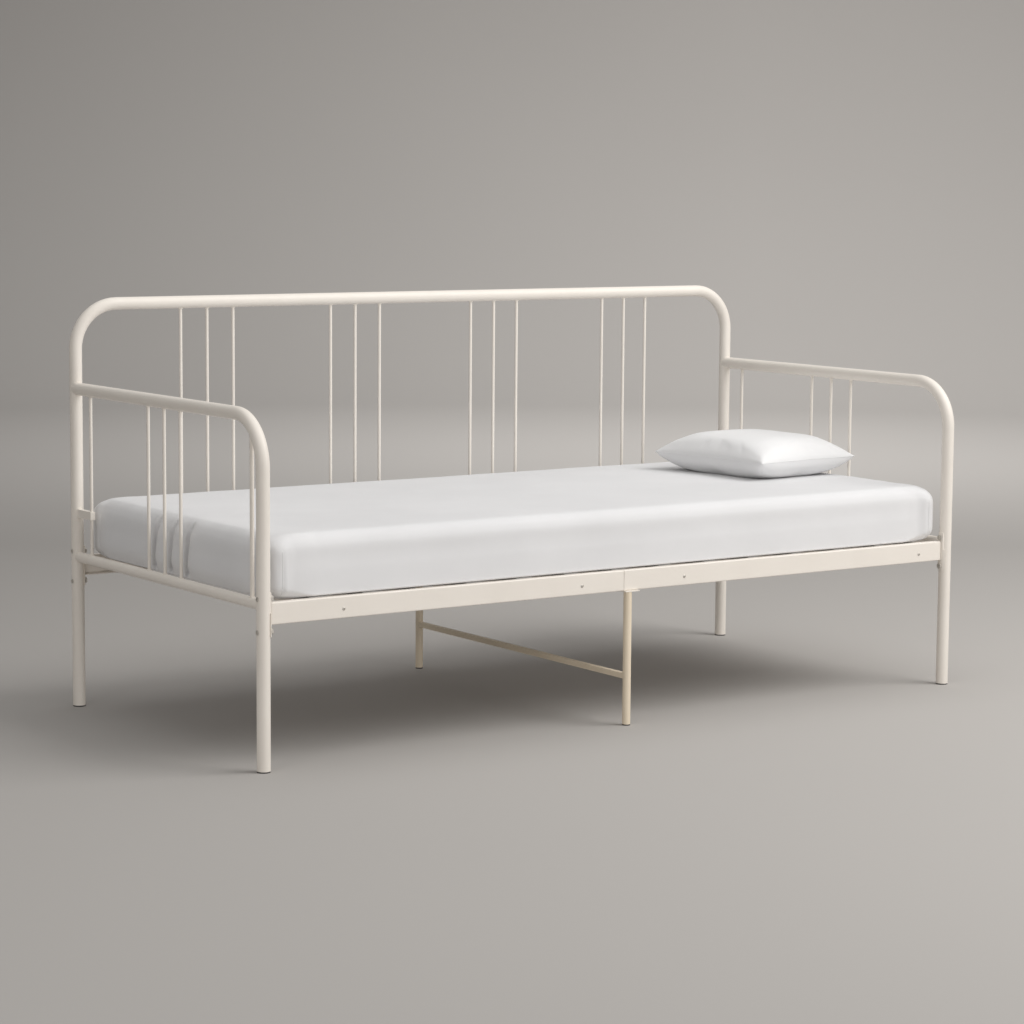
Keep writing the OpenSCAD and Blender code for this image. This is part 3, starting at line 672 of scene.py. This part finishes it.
def make_mattress():
    mesh = inflate(mattress_block(), pressure=4.0, cap=M_CAP, voxel=M_VOXEL)
    refine_ends(mesh)
    mesh = subdivided(mesh, 1)
    co = points(mesh)
    normals = np.array([v.normal for v in mesh.vertices])
    up = np.clip(normals[:, 2], 0, 1)
    for axis in (0, 1):
        limit = M_HALF[axis] + SIDE_GIVE * axis
        co[:, axis] = np.sign(co[:, axis]) * soft_limit(np.abs(co[:, axis]), limit, SIDE_EASE)
    co[:, 2] = np.clip(co[:, 2], -M_HALF.z, None)
    co[:, 2] = soft_limit(co[:, 2], M_HALF.z + M_RISE, TOP_EASE)
    fill_corners(co)
    crisp_bottom(co)
    soft = SOFT_DEEP * noise_at(co, *SOFT_NOISE) * (SOFT_FLANK + (1 - SOFT_FLANK) * up)
    fine = FINE_DEEP * noise_at(co, *FINE_NOISE)
    lively = ease(co[:, 2] + M_HALF.z, 0.0, EDGE_BOTTOM)
    co += normals * (lively * (soft + fine + corner_gathers(co)))[:, None]
    end_bulge(co)
    co[:, 2] = np.maximum(co[:, 2], -M_HALF.z)
    co += np.array(M_MID)
    set_points(mesh, co)
    piece = new_piece("mattress_body", mesh, SHEET, "mattress")
    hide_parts("mattress")
    corner_seams(mesh)


# ---------- cushion ----------

C_LO, C_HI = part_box("cushion")
C_MID = (C_LO + C_HI) / 2
C_TOP = C_HI.z - C_LO.z
# its sides, its turn on the mattress, and how much the sides draw in between the corners
C_LONG, C_WIDE = 0.416, 0.355
C_TURN = math.radians(5.5)
C_PULL = 0.045
# the seam's height above the underside, and its radius
C_SEAM_UP, C_SEAM_R = 0.0505, 0.0012
# crown: how full it stays towards the seam, and the rise of its top and its flatter underside from there
C_FULL, C_TOP_POWER = 3, 0.7
C_UNDER_POWER, C_UNDER_FLAT = 0.42, 1.06
# cloth: cells across and along, the most that it may move, and how its top eases to the CAD height
C_CELLS = (60, 70)
C_CAP, C_TOP_EASE = 0.006, 0.012
# unevenness of its top: depth, with stretch, scale and seed, and where it fades at the middle and the seam
C_SOFT_DEEP, C_SOFT_NOISE = 0.0016, ((1, 1, 1), 9.0, 5.2)
C_FINE_DEEP, C_FINE_NOISE = 0.0007, ((1, 1, 1), 26.0, 1.4)
C_CALM_MIDDLE, C_CALM_RIM = (0.1, 0.9), (-1.45, -1.1)


def envelope():
    """A plump knife-edge cushion: two sheets sewn along sides that draw in between the corners."""
    nx, ny = C_CELLS
    hx, hy = C_WIDE / 2, C_LONG / 2
    bm = bmesh.new()
    grids = []
    for side in (1, -1):
        grid = []
        for i in range(nx + 1):
            row = []
            for j in range(ny + 1):
                rim = i in (0, nx) or j in (0, ny)
                if rim and side < 0:
                    row.append(grids[0][i][j])
                    continue
                u, v = 2 * i / nx - 1, 2 * j / ny - 1
                x = hx * u * (1 - C_PULL * u * u * (1 - v * v))
                y = hy * v * (1 - C_PULL * v * v * (1 - u * u))
                full = (1 - abs(u) ** C_FULL) * (1 - abs(v) ** C_FULL)
                if side > 0:
                    z = (C_TOP - C_SEAM_UP) * full**C_TOP_POWER
                else:
                    z = -C_SEAM_UP * min(1, C_UNDER_FLAT * full**C_UNDER_POWER)
                row.append(bm.verts.new((x, y, 0 if rim else z)))
            grid.append(row)
        grids.append(grid)
    for side, grid in zip((1, -1), grids):
        for i in range(nx):
            for j in range(ny):
                face = (grid[i][j], grid[i + 1][j], grid[i + 1][j + 1], grid[i][j + 1])
                bm.faces.new(face if side > 0 else tuple(reversed(face)))
    bm.verts.index_update()
    top = grids[0]
    rim = [top[i][0] for i in range(nx)] + [top[nx][j] for j in range(ny)]
    rim += [top[i][ny] for i in range(nx, 0, -1)] + [top[0][j] for j in range(ny, 0, -1)]
    rim = [v.index for v in rim]
    mesh = bpy.data.meshes.new("envelope")
    bm.to_mesh(mesh)
    bm.free()
    return mesh, rim


def make_cushion():
    mesh, rim = envelope()
    mesh = inflate(mesh, pressure=3.5, cap=C_CAP, bending=1.5)
    co = points(mesh)
    size = np.abs(co).max(axis=0)
    co[:, 0] *= C_WIDE / 2 / size[0]
    co[:, 1] *= C_LONG / 2 / size[1]
    co[:, 2] = np.maximum(soft_limit(co[:, 2], C_TOP - C_SEAM_UP, C_TOP_EASE), -C_SEAM_UP)
    spread = np.linalg.norm(co[:, :2], axis=1) / (C_WIDE / 2)
    soft = C_SOFT_DEEP * noise_at(co, *C_SOFT_NOISE) + C_FINE_DEEP * noise_at(co, *C_FINE_NOISE)
    lively = ease(spread, *C_CALM_MIDDLE) * ease(-spread, *C_CALM_RIM)
    co[:, 2] += np.where(co[:, 2] > 0, soft * lively, 0)
    set_points(mesh, co)
    mesh = subdivided(mesh, 1)
    co = points(mesh)
    c, s = math.cos(C_TURN), math.sin(C_TURN)
    turned = np.column_stack((c * co[:, 0] - s * co[:, 1], s * co[:, 0] + c * co[:, 1], co[:, 2]))
    turned += np.array((C_MID.x, C_MID.y, C_LO.z + C_SEAM_UP))
    set_points(mesh, turned)
    piece = new_piece("cushion_body", mesh, LINEN, "cushion")
    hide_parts("cushion")
    bm = bmesh.new()
    seam_tube(bm, [Vector(turned[i]) for i in rim], C_SEAM_R, closed=True)
    made = bpy.data.meshes.new("cushion_seam")
    bm.to_mesh(made)
    bm.free()
    new_piece("cushion_seam", made, LINEN, "cushion")


# ---------- studio ----------

# paper colour at the floor, and a darker one up the wall that is painted shade for light falling off with
# height
PAPER_LOW = (0.55, 0.529, 0.507)
PAPER_HIGH_PAINTED_SHADE = (0.43, 0.412, 0.394)
# the height at which the painted shade up the wall is full
PAPER_RISE = 2.6
# painted light falloff: the level direction in which the paper is painted paler, and its lightness from, to,
# and between which two places
PAPER_LIT_SIDE = (0.823, -0.568)
PAPER_PAINTED_FALLOFF = (0.70, 0.93, -3.4, 1.5)
PAPER_FLOOR_R, PAPER_BEND_R, PAPER_WALL_H = 9.0, 3.0, 5.0
PAPER_STEPS, PAPER_BEND_STEPS = 96, 16


def studio():
    """A round cyclorama of pale paper: floor, bend and wall, with shade painted in a little darker at one
    side and higher up.
    """
    steps = PAPER_STEPS
    profile = [(PAPER_FLOOR_R * share / 3, 0.0) for share in (1, 2, 3)]
    for i in range(1, PAPER_BEND_STEPS + 1):
        a = math.pi / 2 * i / PAPER_BEND_STEPS
        profile.append((PAPER_FLOOR_R + PAPER_BEND_R * math.sin(a), PAPER_BEND_R * (1 - math.cos(a))))
    profile.append((PAPER_FLOOR_R + PAPER_BEND_R, PAPER_WALL_H))
    bm = bmesh.new()
    rings = []
    for r, z in profile:
        ring = []
        for i in range(steps):
            a = 2 * math.pi * i / steps
            ring.append(bm.verts.new((r * math.cos(a), r * math.sin(a), z)))
        rings.append(ring)
    centre = bm.verts.new((0, 0, 0))
    for i in range(steps):
        bm.faces.new((centre, rings[0][i], rings[0][(i + 1) % steps]))
    for low, high in zip(rings, rings[1:]):
        for i in range(steps):
            k = (i + 1) % steps
            bm.faces.new((low[i], high[i], high[k], low[k]))
    mesh = bpy.data.meshes.new("studio")
    bm.to_mesh(mesh)
    bm.free()
    mesh.polygons.foreach_set("use_smooth", [True] * len(mesh.polygons))
    s = Shader("studio_paper_painted_falloff", PAPER_LOW, 0.9, Specular_IOR_Level=0.1)
    at = s.add("ShaderNodeSeparateXYZ")
    s.link(s.place, at.inputs[0])
    # painted shade that grows with height, mixed with a faint random mottle
    rise = s.spread(at.outputs["Z"], 0, 1, 0.0, PAPER_RISE)
    painted_rise_and_mottle = s.maths("ADD", rise, s.spread(s.noise(0.35, 2), -0.04, 0.04))
    # painted light falloff: paler towards the lit side, darker away from it
    shares = [s.maths("MULTIPLY", at.outputs[axis], PAPER_LIT_SIDE[i]) for i, axis in enumerate("XY")]
    toward_lit_side = s.maths("ADD", *shares)
    s.tint(painted_rise_and_mottle, [(0, PAPER_LOW), (1, PAPER_HIGH_PAINTED_SHADE)], s.spread(toward_lit_side, *PAPER_PAINTED_FALLOFF))
    mesh.materials.append(s.material)
    backdrop = bpy.data.objects.new("studio", mesh)
    bpy.context.scene.collection.objects.link(backdrop)


def area_light(name, at, target, size, watts, colour, spread=180):
    """A round soft light; spread is the angle that it shines through, in degrees."""
    data = bpy.data.lights.new(name, "AREA")
    data.shape = "DISK"
    data.size = size
    data.energy = watts
    data.color = colour
    data.spread = math.radians(spread)
    light = bpy.data.objects.new(name, data)
    light.location = at
    light.rotation_euler = (Vector(target) - Vector(at)).to_track_quat("-Z", "Y").to_euler()
    bpy.context.scene.collection.objects.link(light)


# name, place, target, size, watts, colour, and a spread where it is narrow
LIGHTS = (
    ("key", (3.3, -3.7, 5.1), (0.1, 0, 0.4), 4.6, 270, (1.0, 0.985, 0.965)),
    ("top", (0.2, -0.6, 6.0), (0.2, -0.3, 0.0), 7.0, 96, (1.0, 0.99, 0.975)),
    ("fill", (1.2, -6.8, 1.3), (0.3, 0, 0.4), 2.4, 27.5, (1.0, 0.995, 0.99), 120),
    ("left", (-5.6, -3.2, 1.5), (-0.7, -0.3, 0.5), 2.4, 19.5, (1.0, 0.985, 0.965), 120),
    ("wall", (3.6, 3.6, 5.0), (7.2, 9.3, 2.2), 3.0, 280, (1.0, 0.99, 0.98)),
)
WORLD = (1.0, 0.985, 0.97)
WORLD_STRENGTH = 0.345


def lights():
    for row in LIGHTS:
        area_light(*row)
    world = bpy.data.worlds.new("world")
    world.use_nodes = True
    background = world.node_tree.nodes["Background"]
    background.inputs["Color"].default_value = (*WORLD, 1)
    background.inputs["Strength"].default_value = WORLD_STRENGTH
    bpy.context.scene.world = world
    bpy.context.scene.view_settings.view_transform = "Standard"


# place, then turn, downward tilt and roll in radians, and lens in millimetres
CAMERA_AT = Vector((-4.0254, -5.7800, 1.3182))
CAMERA_YAW = 0.6041
CAMERA_DOWN = 0.1200
CAMERA_ROLL = 0.0076
CAMERA_LENS = 98.47


def camera():
    ahead = Vector((
        math.sin(CAMERA_YAW) * math.cos(CAMERA_DOWN),
        math.cos(CAMERA_YAW) * math.cos(CAMERA_DOWN),
        -math.sin(CAMERA_DOWN),
    ))
    level = Vector((math.cos(CAMERA_YAW), -math.sin(CAMERA_YAW), 0))
    upright = level.cross(ahead)
    right = math.cos(CAMERA_ROLL) * level + math.sin(CAMERA_ROLL) * upright
    up = math.cos(CAMERA_ROLL) * upright - math.sin(CAMERA_ROLL) * level
    data = bpy.data.cameras.new("camera")
    data.lens, data.sensor_width = CAMERA_LENS, 36
    data.clip_end = 100
    cam = bpy.data.objects.new("camera", data)
    cam.matrix_world = Matrix.Translation(CAMERA_AT) @ Matrix((right, up, -ahead)).transposed().to_4x4()
    bpy.context.scene.collection.objects.link(cam)
    bpy.context.scene.camera = cam


paint_cad_nodes()
weld_beads()
make_mattress()
make_cushion()
studio()
lights()
camera()
